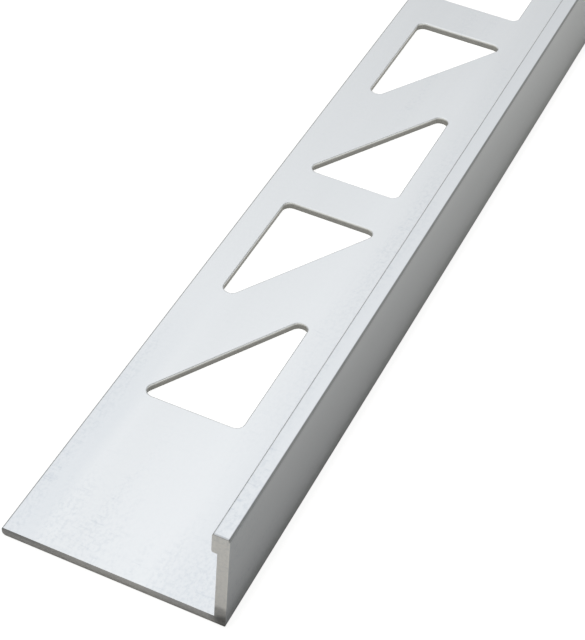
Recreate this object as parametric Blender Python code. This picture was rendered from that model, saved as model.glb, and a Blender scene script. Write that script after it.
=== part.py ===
import math

import bmesh
import bpy

# Overall sizes in metres. X runs across the trim, Y along it, and Z is up.
LENGTH = 1.0
LEG_WIDTH = 0.024
HEIGHT = 0.0125

# Walls of the section
LEG_THICKNESS = 0.0010
WEB_THICKNESS = 0.0012
FACE_WIDTH = 0.0018
LIP_DEPTH = 0.0025

# Corner radii of the section
HEEL_RADIUS = 0.0005
FACE_OUTER_RADIUS = 0.00025
FACE_INNER_RADIUS = 0.00015
LIP_RADIUS = 0.00025
LEG_EDGE_RADIUS = 0.0002

# A rounding takes at most this share of its wall
ROUNDED_SHARE = 0.45

# Punched keying holes: right-angled triangles in pairs, the second of a pair turned half round.
# The straight side of the first stands off the web, that of the second off the leg's free edge.
WEB_LAND = 0.0081
EDGE_LAND = 0.00345
POINT_REACH = 0.0007
HOLE_LENGTH = 0.0198
HOLE_RADIUS = 0.00095

# Metal left along the leg: between the two holes of a pair, between pairs, and at the cut ends
DIAGONAL_STRUT = 0.0074
CROSS_STRUT = 0.0064
START_LAND = 0.0222
END_LAND = 0.0060

# How finely a round corner is divided, and how far a punch runs past the leg
CORNER_STEP = math.radians(15.0)
PUNCH_OVERRUN = 0.0010

# Mill-finish aluminium
METAL_COLOUR = (0.80, 0.82, 0.84, 1.0)
METAL_ROUGHNESS = 0.38


def clear_scene():
    for old in list(bpy.data.objects):
        bpy.data.objects.remove(old, do_unlink=True)


def fillet(previous, corner, following, radius):
    """Points of the arc that rounds one corner of an outline, in order."""
    x, y = corner
    back = (previous[0] - x, previous[1] - y)
    ahead = (following[0] - x, following[1] - y)
    back_length = math.hypot(*back)
    ahead_length = math.hypot(*ahead)
    back = (back[0] / back_length, back[1] / back_length)
    ahead = (ahead[0] / ahead_length, ahead[1] / ahead_length)
    opening = math.acos(back[0] * ahead[0] + back[1] * ahead[1])
    turn = math.pi - opening
    reach = radius / math.tan(opening / 2)
    to_centre = radius / math.sin(opening / 2)
    middle = (back[0] + ahead[0], back[1] + ahead[1])
    middle_length = math.hypot(*middle)
    centre = (x + middle[0] / middle_length * to_centre, y + middle[1] / middle_length * to_centre)
    first = (x + back[0] * reach, y + back[1] * reach)
    start = math.atan2(first[1] - centre[1], first[0] - centre[0])
    side = back[0] * ahead[1] - back[1] * ahead[0]
    sweep = turn if side < 0 else -turn
    steps = max(2, round(turn / CORNER_STEP))
    return [
        (
            centre[0] + radius * math.cos(start + sweep * step / steps),
            centre[1] + radius * math.sin(start + sweep * step / steps),
        )
        for step in range(steps + 1)
    ]


def rounded_outline(corners):
    """Closed outline from (x, y, radius) corners; a radius of 0 leaves the corner sharp."""
    outline = []
    for index, (x, y, radius) in enumerate(corners):
        previous = corners[index - 1][:2]
        following = corners[(index + 1) % len(corners)][:2]
        if radius > 0:
            outline.extend(fillet(previous, (x, y), following, radius))
        else:
            outline.append((x, y))
    return outline


def within_wall(radius, wall):
    """A radius that leaves some of its wall flat, also where both corners are rounded."""
    return min(radius, ROUNDED_SHARE * wall)


def section_outline():
    """Section of the trim in X and Z, with the web at +X."""
    outer = LEG_WIDTH / 2
    lip = outer - FACE_WIDTH
    web = outer - WEB_THICKNESS
    leg_edge = within_wall(LEG_EDGE_RADIUS, LEG_THICKNESS)
    step = FACE_WIDTH - WEB_THICKNESS
    return rounded_outline([
        (-outer, 0.0, leg_edge),
        (outer, 0.0, within_wall(HEEL_RADIUS, WEB_THICKNESS)),
        (outer, HEIGHT, within_wall(FACE_OUTER_RADIUS, FACE_WIDTH)),
        (lip, HEIGHT, within_wall(FACE_INNER_RADIUS, FACE_WIDTH)),
        (lip, HEIGHT - LIP_DEPTH, within_wall(LIP_RADIUS, step)),
        (web, HEIGHT - LIP_DEPTH, 0.0),
        (web, LEG_THICKNESS, 0.0),
        (-outer, LEG_THICKNESS, leg_edge),
    ])


def hole_outlines():
    """Outlines of the punched holes in X and Y, from the near cut end to the far one."""
    web_side = LEG_WIDTH / 2 - WEB_THICKNESS - WEB_LAND
    edge_side = EDGE_LAND - LEG_WIDTH / 2
    band = web_side - edge_side
    hole_width = band + POINT_REACH
    slope = HOLE_LENGTH / hole_width
    strut_along = DIAGONAL_STRUT * math.hypot(hole_width, HOLE_LENGTH) / hole_width
    pair_length = 2 * HOLE_LENGTH + strut_along - slope * band
    far_limit = LENGTH / 2 - END_LAND
    near = START_LAND - LENGTH / 2
    outlines = []
    while near + HOLE_LENGTH <= far_limit:
        outlines.append(rounded_outline([
            (web_side - hole_width, near, HOLE_RADIUS),
            (web_side, near, HOLE_RADIUS),
            (web_side, near + HOLE_LENGTH, HOLE_RADIUS),
        ]))
        far = near + pair_length
        if far <= far_limit:
            outlines.append(rounded_outline([
                (edge_side + hole_width, far, HOLE_RADIUS),
                (edge_side, far, HOLE_RADIUS),
                (edge_side, far - HOLE_LENGTH, HOLE_RADIUS),
            ]))
        near = far + CROSS_STRUT
    return outlines


def add_prism(mesh, near_ring, far_ring):
    """Close two matching rings of points into a prism."""
    near_points = [mesh.verts.new(point) for point in near_ring]
    far_points = [mesh.verts.new(point) for point in far_ring]
    count = len(near_points)
    mesh.faces.new(near_points)
    mesh.faces.new(list(reversed(far_points)))
    for index in range(count):
        after = (index + 1) % count
        mesh.faces.new((near_points[after], near_points[index], far_points[index], far_points[after]))


def make_object(name, mesh):
    bmesh.ops.recalc_face_normals(mesh, faces=mesh.faces)
    data = bpy.data.meshes.new(name)
    mesh.to_mesh(data)
    mesh.free()
    made = bpy.data.objects.new(name, data)
    bpy.context.scene.collection.objects.link(made)
    return made


def make_extrusion():
    """The plain extruded bar, cut square at both ends."""
    outline = section_outline()
    mesh = bmesh.new()
    add_prism(
        mesh,
        [(x, -LENGTH / 2, z) for x, z in outline],
        [(x, LENGTH / 2, z) for x, z in outline],
    )
    return make_object("edge_trim", mesh)


def make_punches():
    """Every punch as one cutter, running past both faces of the leg."""
    mesh = bmesh.new()
    for outline in hole_outlines():
        add_prism(
            mesh,
            [(x, y, -PUNCH_OVERRUN) for x, y in outline],
            [(x, y, LEG_THICKNESS + PUNCH_OVERRUN) for x, y in outline],
        )
    punches = make_object("hole_punches", mesh)
    punches.hide_render = True
    punches.display_type = 'WIRE'
    return punches


def make_metal():
    metal = bpy.data.materials.new("mill_aluminium")
    metal.use_nodes = True
    shader = metal.node_tree.nodes["Principled BSDF"]
    shader.inputs["Base Color"].default_value = METAL_COLOUR
    shader.inputs["Roughness"].default_value = METAL_ROUGHNESS
    shader.inputs["Metallic"].default_value = 1.0
    return metal


def main():
    clear_scene()
    trim = make_extrusion()
    punched = trim.modifiers.new("keying_holes", 'BOOLEAN')
    punched.operation = 'DIFFERENCE'
    punched.solver = 'EXACT'
    punched.object = make_punches()
    trim.data.materials.append(make_metal())


main()
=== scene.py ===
import math

import bmesh
import bpy
from mathutils import Matrix, Vector


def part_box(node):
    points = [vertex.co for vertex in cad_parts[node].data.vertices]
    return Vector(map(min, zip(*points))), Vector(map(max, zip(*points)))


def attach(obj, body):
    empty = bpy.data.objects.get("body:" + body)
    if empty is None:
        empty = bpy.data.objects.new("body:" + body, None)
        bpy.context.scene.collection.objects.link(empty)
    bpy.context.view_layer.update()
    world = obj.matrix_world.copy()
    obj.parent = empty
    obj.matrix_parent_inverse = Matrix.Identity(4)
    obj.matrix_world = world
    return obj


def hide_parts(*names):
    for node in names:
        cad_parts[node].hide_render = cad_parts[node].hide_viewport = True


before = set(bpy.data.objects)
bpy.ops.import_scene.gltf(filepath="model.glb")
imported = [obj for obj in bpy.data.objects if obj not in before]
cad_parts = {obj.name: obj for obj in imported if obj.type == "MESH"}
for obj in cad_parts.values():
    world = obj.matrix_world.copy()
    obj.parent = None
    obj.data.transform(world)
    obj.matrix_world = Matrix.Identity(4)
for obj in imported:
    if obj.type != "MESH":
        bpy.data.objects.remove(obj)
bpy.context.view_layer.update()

mm = 0.001
mergeDistance = 0.001 * mm
trimLow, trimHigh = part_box("edge_trim")


# One socket of a node tree. Sums of these add Math nodes, and node() adds any other kind.
class Wire:
    def __init__(self, tree, socket=None):
        self.tree = tree
        self.socket = socket

    def node(self, kind, settings=None, inputs=None, output=0):
        made = self.tree.nodes.new(kind)
        for name, value in (settings or {}).items():
            if name == "stops":
                setStops(made.color_ramp, value)
            else:
                setattr(made, name, value)
        for key, value in (inputs or {}).items():
            feed(self.tree, made.inputs[key], value)
        return Wire(self.tree, made.outputs[output] if made.outputs else None)

    def other(self, output):
        return Wire(self.tree, self.socket.node.outputs[output])

    def part(self, axis):
        return self.node("ShaderNodeSeparateXYZ", {}, {"Vector": self}, axis)

    def vector(self, parts):
        return self.node("ShaderNodeCombineXYZ", {}, parts)

    def maths(self, operation, *values):
        return self.node("ShaderNodeMath", {"operation": operation}, dict(enumerate(values)))

    def __add__(self, value):
        return self.maths("ADD", self, value)

    def __radd__(self, value):
        return self.maths("ADD", value, self)

    def __sub__(self, value):
        return self.maths("SUBTRACT", self, value)

    def __rsub__(self, value):
        return self.maths("SUBTRACT", value, self)

    def __mul__(self, value):
        return self.maths("MULTIPLY", self, value)

    def __rmul__(self, value):
        return self.maths("MULTIPLY", value, self)

    def __truediv__(self, value):
        return self.maths("DIVIDE", self, value)

    def __rtruediv__(self, value):
        return self.maths("DIVIDE", value, self)

    def __gt__(self, value):
        return self.maths("GREATER_THAN", self, value)

    def __lt__(self, value):
        return self.maths("LESS_THAN", self, value)

    def __abs__(self):
        return self.maths("ABSOLUTE", self)


def setStops(ramp, stops):
    while len(ramp.elements) < len(stops):
        ramp.elements.new(1.0)
    for element, (place, level) in zip(ramp.elements, stops):
        element.position = place
        element.color = (level, level, level, 1.0)


# Links or sets one input. One that joins geometry takes a list, and puts its last link first.
def feed(tree, socket, value):
    if isinstance(value, Wire):
        tree.links.new(value.socket, socket)
    elif isinstance(value, (list, tuple)) and value and isinstance(value[0], Wire):
        for wire in reversed(value):
            tree.links.new(wire.socket, socket)
    else:
        socket.default_value = value


# A soft step from low to high. With low above high it runs downwards.
def eased(value, low, high, first=0.0, last=1.0):
    return value.node("ShaderNodeMapRange", {"interpolation_type": "SMOOTHSTEP"}, {
        "Value": value, "From Min": low, "From Max": high, "To Min": first, "To Max": last,
    })


# A Mix node's factor and two colours are its inputs 0, 6 and 7, and its colour is output 2
def blend(factor, first, second):
    inputs = {0: factor, 6: first, 7: second}
    return factor.node("ShaderNodeMix", {"data_type": "RGBA"}, inputs, output=2)


# Camera, placed from the heel: the web's outer lower corner at the near cut end
cameraSizes = {
    "fromHeel": Vector((41.867, -95.440, 138.965)) * mm,
    "azimuth": math.radians(-21.571),
    "elevation": math.radians(43.559),    # how steeply it looks down
    "roll": math.radians(4.774),
    "lens": 103.734,
    "clipStart": 1 * mm,
}


def makeCamera(sizes):
    azimuth, elevation, roll = sizes["azimuth"], sizes["elevation"], sizes["roll"]
    ahead = Vector((
        math.sin(azimuth) * math.cos(elevation),
        math.cos(azimuth) * math.cos(elevation),
        -math.sin(elevation),
    ))
    level = Vector((math.cos(azimuth), -math.sin(azimuth), 0.0))
    upright = level.cross(ahead)
    right = level * math.cos(roll) + upright * math.sin(roll)
    up = right.cross(ahead)
    turn = Matrix((right, up, -ahead)).transposed()
    data = bpy.data.cameras.new("photoCamera")
    data.lens = sizes["lens"]
    data.clip_start = sizes["clipStart"]
    camera = bpy.data.objects.new("photoCamera", data)
    heel = Vector((trimHigh.x, trimLow.y, trimLow.z))
    camera.matrix_world = Matrix.Translation(heel + sizes["fromHeel"]) @ turn.to_4x4()
    bpy.context.scene.collection.objects.link(camera)
    bpy.context.scene.camera = camera


makeCamera(cameraSizes)
print("camera placed")

# The punched trim, as fine as the real edges
trimSizes = {
    "legThickness": 1.0 * mm,
    "webThickness": 1.2 * mm,
    "faceWidth": 1.8 * mm,       # the visible top face, web and lip together
    "lipDepth": 2.5 * mm,
    "heelRadius": 0.15 * mm,
    "faceOuterRadius": 0.25 * mm,
    "faceInnerRadius": 0.22 * mm,
    "lipRadius": 0.25 * mm,
    "legEdgeRadius": 0.22 * mm,
    "legUnderRadius": 0.45 * mm,
    "sectionArcSteps": 7,
    "sharpAngle": math.radians(35),    # steeper edges than this stay crisp
}
holeSizes = {
    "webLand": 8.1 * mm,         # from the web's inner face to the first hole of a pair
    "edgeLand": 3.45 * mm,       # from the leg's free edge to the second hole
    "pointReach": 0.7 * mm,      # how far a hole's point reaches past the other hole's straight side
    "length": 19.8 * mm,
    "radius": 0.95 * mm,
    "diagonalStrut": 7.4 * mm,
    "crossStrut": 6.4 * mm,
    "startLand": 22.2 * mm,
    "pairs": 23,
    "arcSteps": 11,
    "rollWidth": 0.12 * mm,      # rounded upper edge that the punch draws in
    "rollDepth": 0.06 * mm,
    "rollTurn": math.radians(42),
    "rollSteps": 3,
    "breakOut": 0.09 * mm,       # how far the torn lower part of the wall leans back
    "breakHeight": 0.55 * mm,
}


# Mesh of straight edges through the corners, each corner with the radius it is to be rounded by
def outlineObject(name, loops, closed=True):
    mesh = bpy.data.meshes.new(name)
    points, edges, radii = [], [], []
    for loop in loops:
        first = len(points)
        count = len(loop)
        points += [(x, y, 0.0) for x, y, radius in loop]
        radii += [radius for x, y, radius in loop]
        last = count if closed else count - 1
        edges += [(first + index, first + (index + 1) % count) for index in range(last)]
    mesh.from_pydata(points, edges, [])
    mesh.attributes.new("cornerRadius", "FLOAT", "POINT").data.foreach_set("value", radii)
    guide = bpy.data.objects.new(name, mesh)
    bpy.context.scene.collection.objects.link(guide)
    return guide


# The section lies in X and Y here, and is stood up along the trim afterwards
def sectionGuide(sizes, width, height):
    outer = width / 2
    lip = outer - sizes["faceWidth"]
    web = outer - sizes["webThickness"]
    leg = sizes["legThickness"]
    step = height - sizes["lipDepth"]
    return outlineObject("sectionGuide", [[
        (-outer, 0.0, sizes["legUnderRadius"]),
        (outer, 0.0, sizes["heelRadius"]),
        (outer, height, sizes["faceOuterRadius"]),
        (lip, height, sizes["faceInnerRadius"]),
        (lip, step, sizes["lipRadius"]),
        (web, step, 0.0),
        (web, leg, 0.0),
        (-outer, leg, sizes["legEdgeRadius"]),
    ]])


# Two triangles, the second turned half round, and the pitch from one pair to the next
def pairLayout(sizes, width, webThickness):
    webSide = width / 2 - webThickness - sizes["webLand"]
    edgeSide = sizes["edgeLand"] - width / 2
    band = webSide - edgeSide
    across = band + sizes["pointReach"]
    along = sizes["length"]
    strut = sizes["diagonalStrut"] * math.hypot(across, along) / across
    pairLength = 2 * along + strut - along / across * band
    radius = sizes["radius"]
    first = [
        (webSide - across, 0.0, radius),
        (webSide, 0.0, radius),
        (webSide, along, radius),
    ]
    second = [
        (edgeSide + across, pairLength, radius),
        (edgeSide, pairLength, radius),
        (edgeSide, pairLength - along, radius),
    ]
    return outlineObject("holePairGuide", [first, second]), pairLength + sizes["crossStrut"]


# Section of a hole's wall: how far it stands off the outline, and its height
def wallGuide(sizes, thickness):
    width, depth, steps = sizes["rollWidth"], sizes["rollDepth"], sizes["rollSteps"]
    steepest = sizes["rollTurn"]
    turns = [steepest * step / steps for step in range(steps + 1)]
    wall = [
        (
            width * (1 - math.sin(turn) / math.sin(steepest)),
            thickness - depth * (1 - math.cos(turn)) / (1 - math.cos(steepest)),
        )
        for turn in turns
    ]
    wall += [(0.0, sizes["breakHeight"]), (sizes["breakOut"], 0.0)]
    # Curve to Mesh lays a profile's Y downwards on a flat curve
    return outlineObject("wallGuide", [[(x, -y, 0.0) for x, y in wall]], closed=False)


# What the trim's tree is given, and the kind of each input
trimInputs = {
    "Section": "Object",
    "Hole pair": "Object",
    "Hole wall": "Object",
    "Length": "Float",
    "Leg thickness": "Float",
    "Leg top start": "Float",
    "Leg top end": "Float",
    "Underside start": "Float",
    "Underside end": "Float",
    "Pair pitch": "Float",
    "Pairs": "Int",
    "Start land": "Float",
    "Section arc steps": "Int",
    "Hole arc steps": "Int",
    "Metal": "Material",
}
faceOn = 0.999        # part of a normal along an axis, from which a face counts as square to it


def guideMesh(given, name):
    return given.node("GeometryNodeObjectInfo", {}, {"Object": given.other(name)}, "Geometry")


def roundedCurve(given, name, steps):
    curve = given.node("GeometryNodeMeshToCurve", {}, {"Mesh": guideMesh(given, name)})
    radius = given.node("GeometryNodeInputNamedAttribute", {"data_type": "FLOAT"},
                        {"Name": "cornerRadius"}, "Attribute")
    return given.node("GeometryNodeFilletCurve", {"mode": "POLY"}, {
        "Curve": curve, "Count": given.other(steps), "Radius": radius,
    })


def heightOf(given):
    return given.node("GeometryNodeInputPosition").part("Z")


def squareTo(given, axis):
    return abs(given.node("GeometryNodeInputNormal").part(axis)) > faceOn


def marked(mesh, name, value):
    return mesh.node("GeometryNodeStoreNamedAttribute", {"data_type": "FLOAT", "domain": "FACE"},
                     {"Geometry": mesh, "Name": name, "Value": value})


# The bar: the section filled, drawn out and stood up, without the two faces that the punch goes through
def drawBar(given):
    length, thickness = given.other("Length"), given.other("Leg thickness")
    face = given.node("GeometryNodeFillCurve", {"mode": "NGONS"},
                      {"Curve": roundedCurve(given, "Section", "Section arc steps")})
    drawn = given.node("GeometryNodeExtrudeMesh", {"mode": "FACES"}, {
        "Mesh": face, "Offset": given.vector({"Z": length}), "Individual": False,
    })
    back = given.node("GeometryNodeFlipFaces", {}, {"Mesh": face})
    bar = given.node("GeometryNodeJoinGeometry", {}, {"Geometry": [drawn, back]})
    bar = given.node("GeometryNodeTransform", {}, {
        "Geometry": bar,
        "Translation": given.vector({"Y": length * 0.5}),
        "Rotation": (math.radians(90), 0.0, 0.0),
    })
    bar = given.node("GeometryNodeMergeByDistance", {}, {"Geometry": bar, "Distance": mergeDistance})
    bar = marked(bar, "sawn", squareTo(given, "Y"))
    onLeg = heightOf(given) < thickness + mergeDistance
    return given.node("GeometryNodeDeleteGeometry", {"domain": "FACE"},
                      {"Geometry": bar, "Selection": squareTo(given, "Z") * onLeg})


# The walls of every hole, pair by pair along the leg
def punchWalls(given):
    firstPair = given.other("Start land") - given.other("Length") * 0.5
    pairs = given.node("GeometryNodeMeshLine", {"mode": "OFFSET", "count_mode": "TOTAL"}, {
        "Count": given.other("Pairs"),
        "Start Location": given.vector({"Y": firstPair}),
        "Offset": given.vector({"Y": given.other("Pair pitch")}),
    })
    holes = given.node("GeometryNodeInstanceOnPoints", {}, {
        "Points": pairs, "Instance": roundedCurve(given, "Hole pair", "Hole arc steps"),
    })
    holes = given.node("GeometryNodeRealizeInstances", {}, {"Geometry": holes})
    holes = given.node("GeometryNodeSetCurveNormal", {"mode": "Z_UP"}, {"Curve": holes})
    wall = given.node("GeometryNodeMeshToCurve", {}, {"Mesh": guideMesh(given, "Hole wall")})
    walls = given.node("GeometryNodeCurveToMesh", {}, {"Curve": holes, "Profile Curve": wall})
    return marked(walls, "punched", 1.0)


# One flat face of the leg, filled round the rims of the holes at its height
def fillPlate(given, walls, isRim, start, end, height):
    rims = given.node("GeometryNodeMeshToCurve", {}, {"Mesh": walls, "Selection": isRim})
    border = given.node("GeometryNodeCurvePrimitiveQuadrilateral", {"mode": "RECTANGLE"},
                        {"Width": end - start, "Height": given.other("Length")})
    border = given.node("GeometryNodeTransform", {}, {
        "Geometry": border, "Translation": given.vector({"X": (start + end) * 0.5}),
    })
    outlines = given.node("GeometryNodeJoinGeometry", {}, {"Geometry": [border, rims]})
    filled = given.node("GeometryNodeFillCurve", {"mode": "TRIANGLES"}, {"Curve": outlines})
    return given.node("GeometryNodeSetPosition", {}, {
        "Geometry": filled, "Offset": given.vector({"Z": height}),
    })


def makeTrimTree():
    tree = bpy.data.node_groups.new("punchedTrim", "GeometryNodeTree")
    names = {}
    for name, kind in trimInputs.items():
        socket = tree.interface.new_socket(name=name, in_out="INPUT", socket_type="NodeSocket" + kind)
        names[name] = socket.identifier
    tree.interface.new_socket(name="Geometry", in_out="OUTPUT", socket_type="NodeSocketGeometry")
    given = Wire(tree, tree.nodes.new("NodeGroupInput").outputs[0])
    thickness = given.other("Leg thickness")
    bar = drawBar(given)
    walls = punchWalls(given)
    top = fillPlate(given, walls, heightOf(given) > thickness - mergeDistance,
                    given.other("Leg top start"), given.other("Leg top end"), thickness)
    under = fillPlate(given, walls, heightOf(given) < mergeDistance,
                      given.other("Underside start"), given.other("Underside end"), 0.0)
    under = given.node("GeometryNodeFlipFaces", {}, {"Mesh": under})
    whole = given.node("GeometryNodeJoinGeometry", {}, {"Geometry": [bar, walls, top, under]})
    whole = given.node("GeometryNodeMergeByDistance", {}, {"Geometry": whole, "Distance": mergeDistance})
    whole = given.node("GeometryNodeRealizeInstances", {}, {"Geometry": whole})
    whole = given.node("GeometryNodeSetMaterial", {}, {
        "Geometry": whole, "Material": given.other("Metal"),
    })
    tree.links.new(whole.socket, tree.nodes.new("NodeGroupOutput").inputs[0])
    return tree, names


def plainMesh(source, name):
    graph = bpy.context.evaluated_depsgraph_get()
    mesh = bpy.data.meshes.new_from_object(source.evaluated_get(graph),
                                           preserve_all_data_layers=True, depsgraph=graph)
    mesh.name = name
    return mesh


def makeTrim(metal):
    width, length, height = trimHigh - trimLow
    section = sectionGuide(trimSizes, width, height)
    pair, pitch = pairLayout(holeSizes, width, trimSizes["webThickness"])
    wall = wallGuide(holeSizes, trimSizes["legThickness"])
    tree, names = makeTrimTree()
    base = bpy.data.objects.new("trimBase", bpy.data.meshes.new("trimBase"))
    bpy.context.scene.collection.objects.link(base)
    grown = base.modifiers.new("punchedTrim", "NODES")
    grown.node_group = tree
    values = {
        "Section": section,
        "Hole pair": pair,
        "Hole wall": wall,
        "Length": length,
        "Leg thickness": trimSizes["legThickness"],
        "Leg top start": trimLow.x + trimSizes["legEdgeRadius"],
        "Leg top end": trimHigh.x - trimSizes["webThickness"],
        "Underside start": trimLow.x + trimSizes["legUnderRadius"],
        "Underside end": trimHigh.x - trimSizes["heelRadius"],
        "Pair pitch": pitch,
        "Pairs": holeSizes["pairs"],
        "Start land": holeSizes["startLand"],
        "Section arc steps": trimSizes["sectionArcSteps"],
        "Hole arc steps": holeSizes["arcSteps"],
        "Metal": metal,
    }
    for name, value in values.items():
        grown[names[name]] = value
    mesh = plainMesh(base, "edgeTrimSkin")
    for guide in (base, section, pair, wall):
        bpy.data.objects.remove(guide, do_unlink=True)
    return finishTrim(mesh, metal)


# Closes the mesh, turns every face outwards and keeps the flats flat, up to the rims of the holes
def finishTrim(mesh, metal):
    body = bmesh.new()
    body.from_mesh(mesh)
    bmesh.ops.remove_doubles(body, verts=body.verts, dist=mergeDistance)
    bmesh.ops.recalc_face_normals(body, faces=body.faces)
    body.edges.index_update()
    openEdges = sum(1 for edge in body.edges if not edge.is_manifold)
    punched = body.faces.layers.float["punched"]
    rims = [edge.index for edge in body.edges if len({face[punched] for face in edge.link_faces}) == 2]
    body.to_mesh(mesh)
    body.free()
    mesh.shade_smooth()
    mesh.set_sharp_from_angle(angle=trimSizes["sharpAngle"])
    for index in rims:
        mesh.edges[index].use_edge_sharp = True
    print("trim skin:", len(mesh.polygons), "faces,", openEdges, "open edges")
    piece = bpy.data.objects.new("edge_trim_skin", mesh)
    bpy.context.scene.collection.objects.link(piece)
    weighted = piece.modifiers.new("flatFaces", "WEIGHTED_NORMAL")
    weighted.mode = "FACE_AREA"
    weighted.keep_sharp = True
    finished = plainMesh(piece, "edge_trim_skin")
    piece.modifiers.remove(weighted)
    piece.data = finished
    piece.data.materials.clear()    # the tree leaves an empty first slot
    piece.data.materials.append(metal)
    return piece


# Satin mill-finish aluminium: pale and cool on extruded faces, duller where cut; painted shade at cut
# ends and edges
metalLook = {
    "colour": (0.905, 0.934, 0.960, 1.0),
    "cutColour": (0.98, 0.97, 0.945, 1.0),
    "roughness": 0.33,
    "cutRoughness": 0.42,
    "punchedRoughness": 0.45,
    # Each pattern has a scale, a detail, a roughness and how it is squeezed along X, Y and Z
    "bands": (110.0, 2.0, 0.55, (1.0, 0.04, 1.0)),
    "streaks": (1500.0, 3.0, 0.55, (1.0, 0.03, 1.0)),
    "sawMarks": (3200.0, 2.0, 0.55, (1.0, 1.0, 0.08)),
    "patches": (170.0, 3.0, 0.6, (1.0, 0.10, 1.0)),
    "specks": (3000.0, 3.0, 0.6, (1.0, 0.6, 1.0)),
    "nicks": (1500.0, 3.0, 0.6, (0.35, 1.8, 1.0)),
    "patchLevels": (0.54, 0.76),    # levels of a pattern between which its marks come
    "speckLevels": (0.40, 0.68),
    "nickLevels": (0.56, 0.72),
    "bandShade": 0.040,          # broad soft bands along the trim
    "streakShade": 0.016,        # fine drawing streaks
    "streakRoughness": 0.04,
    "speckShade": 0.075,         # dull specks and short nicks, most in patches and where it is handled
    "strayShare": 0.1,           # share of them outside the patches
    "dullTint": (1.15, 1.0, 0.8),    # dull places lose more red than blue
    "handledReach": 14 * mm,     # from a cut end
    "handledShare": 0.14,
    "rubbedPlace": 7.5 * mm,     # the band of the leg beside the web
    "rubbedReach": 5 * mm,
    "rubbedShare": 0.20,
    "rubbedLength": 45 * mm,     # how far from the cut end the rubbing goes
    "rubbedShade": 0.02,
    "wornShade": 0.018,          # more of it near the cut end
    "freeReach": 2.5 * mm,       # the rubbed strip along the free edge
    "borderShade": 0.055,        # dull border along the free edge, near the cut end
    "borderAcross": (-7.5 * mm, -9.5 * mm),
    "lipShade": 0.03,            # the trim is a little darker from lipRise up, on the lip's top and the web's top
    "lipRise": 11.25 * mm,
    "arrisShade": 0.42,          # painted reflection: the rounded outer edge along the top of the web drawn dark, as where it mirrors dark surroundings
    "arrisAcross": (11.78 * mm, 11.93 * mm),
    "arrisRise": (12.05 * mm, 12.28 * mm),
    "cutLineShade": 0.30,        # thin dark line along the top edge of each cut end, across the lip
    "cutLineReach": (0.24 * mm, 0.08 * mm),
    "cutLineRise": (12.32 * mm, 12.46 * mm),
    "sawShade": 0.06,
    "footShade": 0.40,           # painted shade: the lower part of a cut end darker, as where it mirrors the floor's contact shadow
    "footEdges": (0.15 * mm, 0.85 * mm, 2.1 * mm, 2.9 * mm),    # heights between which it comes and goes
    "footMiddle": 0.35,          # share of it along the middle of the leg's cut end
    "footFree": (-2.0 * mm, -10.0 * mm),
    "footWeb": (9.6 * mm, 11.0 * mm),
    "heelShade": 0.50,           # dark spot on the cut end at the web's outer lower corner: a burr, and painted contact shade by the floor
    "heelPlace": (11.9 * mm, 0.4 * mm),
    "heelReach": 1.5 * mm,
    "heelCore": 0.525 * mm,
    "tornShade": 0.74,           # lower part of a punched wall darker: its torn zone, and painted shade of the floor's contact shadow that it mirrors
    "tornStart": 1.05 * mm,
    "tornEnd": 0.60 * mm,
    "reliefStrength": 0.25,
    "reliefDepth": 0.01 * mm,
    "speckRelief": 0.3,
}


# A pattern's swing about its middle level, up and down by about the share
def swing(pattern, share):
    return (pattern - 0.5) * (2 * share)


# How dull the extruded faces are: handled near the cut ends, rubbed beside the web and the free edge;
# darker at the top
def dullness(look, marks, patches, across, lengthways, height):
    nearCut = eased(lengthways, trimHigh.y - look["handledReach"], trimHigh.y)
    worn = eased(lengthways, trimHigh.y - look["rubbedLength"], trimHigh.y - look["handledReach"])
    besideWeb = eased(abs(across - look["rubbedPlace"]), look["rubbedReach"], 0.0)
    freeEdge = eased(across, trimLow.x + look["freeReach"], trimLow.x)
    rubbed = nearCut * look["handledShare"] + (besideWeb + freeEdge) * worn * look["rubbedShare"]
    patches = eased(patches + rubbed, *look["patchLevels"])
    spread = patches * (1.0 - look["strayShare"]) + look["strayShare"]
    dull = marks * spread * look["speckShade"] + besideWeb * look["rubbedShade"]
    dull = dull + eased(height, look["lipRise"], trimHigh.z) * look["lipShade"]
    border = eased(across, *look["borderAcross"]) * look["borderShade"]
    return dull + worn * (border + besideWeb * look["wornShade"])


# Shares of the tone lost, mostly painted shade: at the heel (with a burr), the web's outer top edge, the
# cut's top line and foot
def cutShades(look, sawn, across, lengthways, height):
    heelAcross, heelHeight = look["heelPlace"]
    sidestep, rise = across - heelAcross, height - heelHeight
    fromHeel = across.maths("SQRT", sidestep * sidestep + rise * rise)
    # painted contact shade next to the floor at the heel, together with its burr
    burrAndShade = sawn * eased(fromHeel, look["heelReach"], look["heelCore"]) * look["heelShade"]
    # painted reflection: the web's rounded outer top edge darkened
    arris = eased(across, *look["arrisAcross"]) * eased(height, *look["arrisRise"]) * look["arrisShade"]
    lineStart, lineFull = (trimHigh.y - reach for reach in look["cutLineReach"])
    line = eased(lengthways, lineStart, lineFull) * eased(height, *look["cutLineRise"])
    # painted shade on the foot of each cut end, strongest beside the free edge and the web
    comes, full, fades, gone = look["footEdges"]
    sides = eased(across, *look["footFree"]) + eased(across, *look["footWeb"])
    foot = eased(height, comes, full) * eased(height, gone, fades)
    foot = foot * (look["footMiddle"] + (1.0 - look["footMiddle"]) * sides)
    return [burrAndShade, arris, line * look["cutLineShade"], sawn * foot * look["footShade"]]


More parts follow.
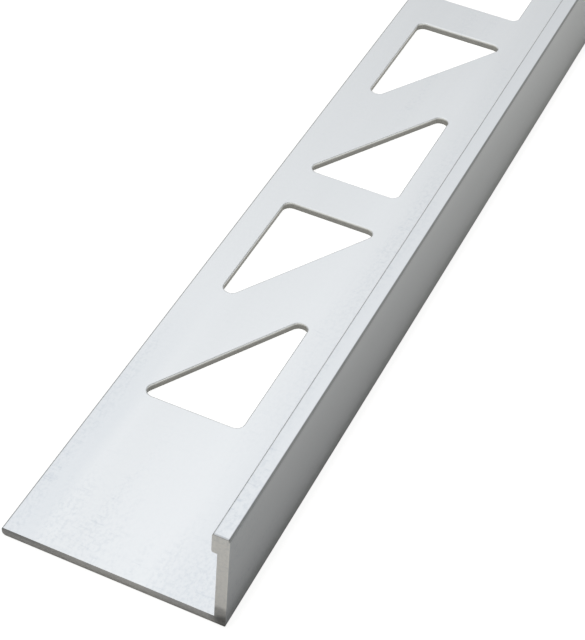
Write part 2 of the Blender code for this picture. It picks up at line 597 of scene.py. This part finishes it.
def makeMetal(look):
    metal = bpy.data.materials.new("millAluminium")
    metal.use_nodes = True
    tree = metal.node_tree
    tree.nodes.clear()
    start = Wire(tree)
    place = start.node("ShaderNodeTexCoord", output="Object")
    across = place.part("X")
    lengthways, height = abs(across.other("Y")), across.other("Z")
    sawn = start.node("ShaderNodeAttribute", {"attribute_name": "sawn"}, output="Fac")
    punched = start.node("ShaderNodeAttribute", {"attribute_name": "punched"}, output="Fac")

    def pattern(name):
        scale, detail, roughness, squeeze = look[name]
        squeezed = start.node("ShaderNodeMapping", {}, {"Vector": place, "Scale": squeeze})
        return start.node("ShaderNodeTexNoise", {"noise_dimensions": "3D"}, {
            "Vector": squeezed, "Scale": scale, "Detail": detail, "Roughness": roughness,
        })

    streaks = pattern("streaks")
    specks = eased(pattern("specks"), *look["speckLevels"])
    nicks = eased(pattern("nicks"), *look["nickLevels"])
    dull = dullness(look, specks + nicks, pattern("patches"), across, lengthways, height)
    # lower part of each hole's wall: torn zone, plus painted contact shade that the wall mirrors
    tornAndShaded = punched * eased(height, look["tornStart"], look["tornEnd"])
    tone = 1.0 + swing(pattern("bands"), look["bandShade"]) + swing(streaks, look["streakShade"])
    tone = tone + swing(pattern("sawMarks"), look["sawShade"]) * sawn
    # painted shade at cut ends and edges, and the torn and shaded lower walls, darken the tone
    for shade in cutShades(look, sawn, across, lengthways, height) + [tornAndShaded * look["tornShade"]]:
        tone = tone * (1.0 - shade)
    colour = blend(start.maths("MAXIMUM", sawn, tornAndShaded), look["colour"], look["cutColour"])
    shades = start.vector({axis: tone - dull * part for axis, part in zip("XYZ", look["dullTint"])})
    colour = start.node("ShaderNodeVectorMath", {"operation": "MULTIPLY"}, {0: colour, 1: shades})
    rough = look["roughness"] + sawn * (look["cutRoughness"] - look["roughness"])
    rough = rough + punched * (look["punchedRoughness"] - look["roughness"])
    relief = start.node("ShaderNodeBump", {}, {
        "Strength": look["reliefStrength"],
        "Distance": look["reliefDepth"],
        "Height": streaks + specks * look["speckRelief"],
    })
    shader = start.node("ShaderNodeBsdfPrincipled", {}, {
        "Base Color": colour,
        "Metallic": 1.0,
        "Roughness": rough + swing(streaks, look["streakRoughness"]),
        "Normal": relief,
    })
    start.node("ShaderNodeOutputMaterial", {}, {"Surface": shader})
    return metal


trim = makeTrim(makeMetal(metalLook))
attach(trim, "root")
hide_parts("edge_trim")
print("trim made")

# Pale floor under a soft studio sky, bright overhead and dim at the horizon and to the right
white = (1.0, 1.0, 1.0, 1.0)
stageLook = {
    "floorColour": (0.54, 0.535, 0.525, 1.0),
    "floorSize": 40.0,
    "floorGap": 0.02 * mm,       # below the trim
    # painted contact shadow: the floor's colour next to the trim
    "contactShadowColour": (0.275, 0.27, 0.26, 1.0),
    "contactReach": 1.6 * mm,    # how near to the trim's outline the floor carries the painted contact shadow
    "frontOpenness": 2.0,        # the darkening before a cut end is so many times narrower
    "insideColour": (0.98, 0.975, 0.965, 1.0),    # painted reflection: floor paler for mirror rays inside the trim's outline, so the holes' walls mirror it bright
    "insideEdges": (-2 * mm, -3 * mm),
    "cameraLift": 0.835,
    # Light that the floor adds in mirrors, from the trim's middle out to the open floor
    "mirrorStart": -12 * mm,
    "mirrorEnd": 60 * mm,
    "mirrorLift": (
        (0.0, 0.45), (0.12, 0.45), (0.155, 0.0), (0.20, 0.0), (0.25, 0.015), (0.36, 0.04), (1.0, 0.44),
    ),
    "mirrorTint": (1.0, 0.985, 0.88, 1.0),
    "frontLift": 0.06,           # before the near cut end
    "frontReach": 3 * mm,
    "fartherLift": 0.07,
    "fartherReach": 110 * mm,
    "skyDark": (0.20, 0.197, 0.19, 1.0),
    "skyRise": (0.16, 0.78),     # sines of the heights at which the sky starts and is full
    "rightShade": 0.85,          # share of the light that is missing on the right
    "rightTurn": (0.05, 0.60),
}


def makeFloor(look):
    half = look["floorSize"] / 2
    level = trimLow.z - look["floorGap"]
    mesh = bpy.data.meshes.new("studioFloor")
    corners = [(-half, -half, level), (half, -half, level), (half, half, level), (-half, half, level)]
    mesh.from_pydata(corners, [], [(0, 1, 2, 3)])
    floor = bpy.data.objects.new("studioFloor", mesh)
    bpy.context.scene.collection.objects.link(floor)
    mesh.materials.append(makePaper(look))


# White to the camera, with a painted contact shadow where the trim touches it, and painted light and
# shade in what the metal mirrors
def makePaper(look):
    paper = bpy.data.materials.new("palePaper")
    paper.use_nodes = True
    tree = paper.node_tree
    tree.nodes.clear()
    start = Wire(tree)
    across = start.node("ShaderNodeTexCoord", output="Object").part("X")
    aside = abs(across) - trimHigh.x
    beyond = abs(across.other("Y")) - trimHigh.y
    gap = start.maths("MAXIMUM", aside, beyond)
    contact = start.maths("MAXIMUM", aside, beyond * look["frontOpenness"])
    inside = eased(gap, *look["insideEdges"])
    farther = eased(across.other("Y"), trimLow.y, trimLow.y + look["fartherReach"])
    path = start.node("ShaderNodeLightPath", output="Is Camera Ray")
    mirror = start.maths("MAXIMUM", path.other("Is Glossy Ray"), path.other("Is Transmission Ray"))
    faint = start.node("ShaderNodeValToRGB", {"stops": look["mirrorLift"]}, {
        "Fac": (gap - look["mirrorStart"]) / (look["mirrorEnd"] - look["mirrorStart"]),
    })
    front = eased(beyond, 0.0, look["frontReach"]) * look["frontLift"]
    lift = path * look["cameraLift"] + mirror * (faint + front + farther * look["fartherLift"])
    # painted contact shadow on the floor, close to the trim's outline
    clear = eased(abs(contact), 0.0, look["contactReach"])
    colour = blend(clear, look["contactShadowColour"], look["floorColour"])
    # painted reflection: paler floor in mirrors, inside the footprint
    colour = blend(mirror * inside, colour, look["insideColour"])
    matt = start.node("ShaderNodeBsdfDiffuse", {}, {"Color": colour})
    glow = start.node("ShaderNodeEmission", {}, {
        "Color": blend(mirror, white, look["mirrorTint"]), "Strength": lift,
    })
    whole = start.node("ShaderNodeAddShader", {}, {0: matt, 1: glow})
    start.node("ShaderNodeOutputMaterial", {}, {"Surface": whole})
    return paper


def makeWorld(look):
    world = bpy.data.worlds.new("studio")
    world.use_nodes = True
    tree = world.node_tree
    tree.nodes.clear()
    start = Wire(tree)
    across = start.node("ShaderNodeTexCoord", output="Generated").part("X")
    bright = eased(across.other("Z"), *look["skyRise"])
    bright = bright * eased(across, *look["rightTurn"], 1.0, 1.0 - look["rightShade"])
    background = start.node("ShaderNodeBackground", {}, {"Color": blend(bright, look["skyDark"], white)})
    start.node("ShaderNodeOutputWorld", {}, {"Surface": background})
    bpy.context.scene.world = world


makeFloor(stageLook)
makeWorld(stageLook)
bpy.context.scene.view_settings.view_transform = "Standard"
print("stage set")
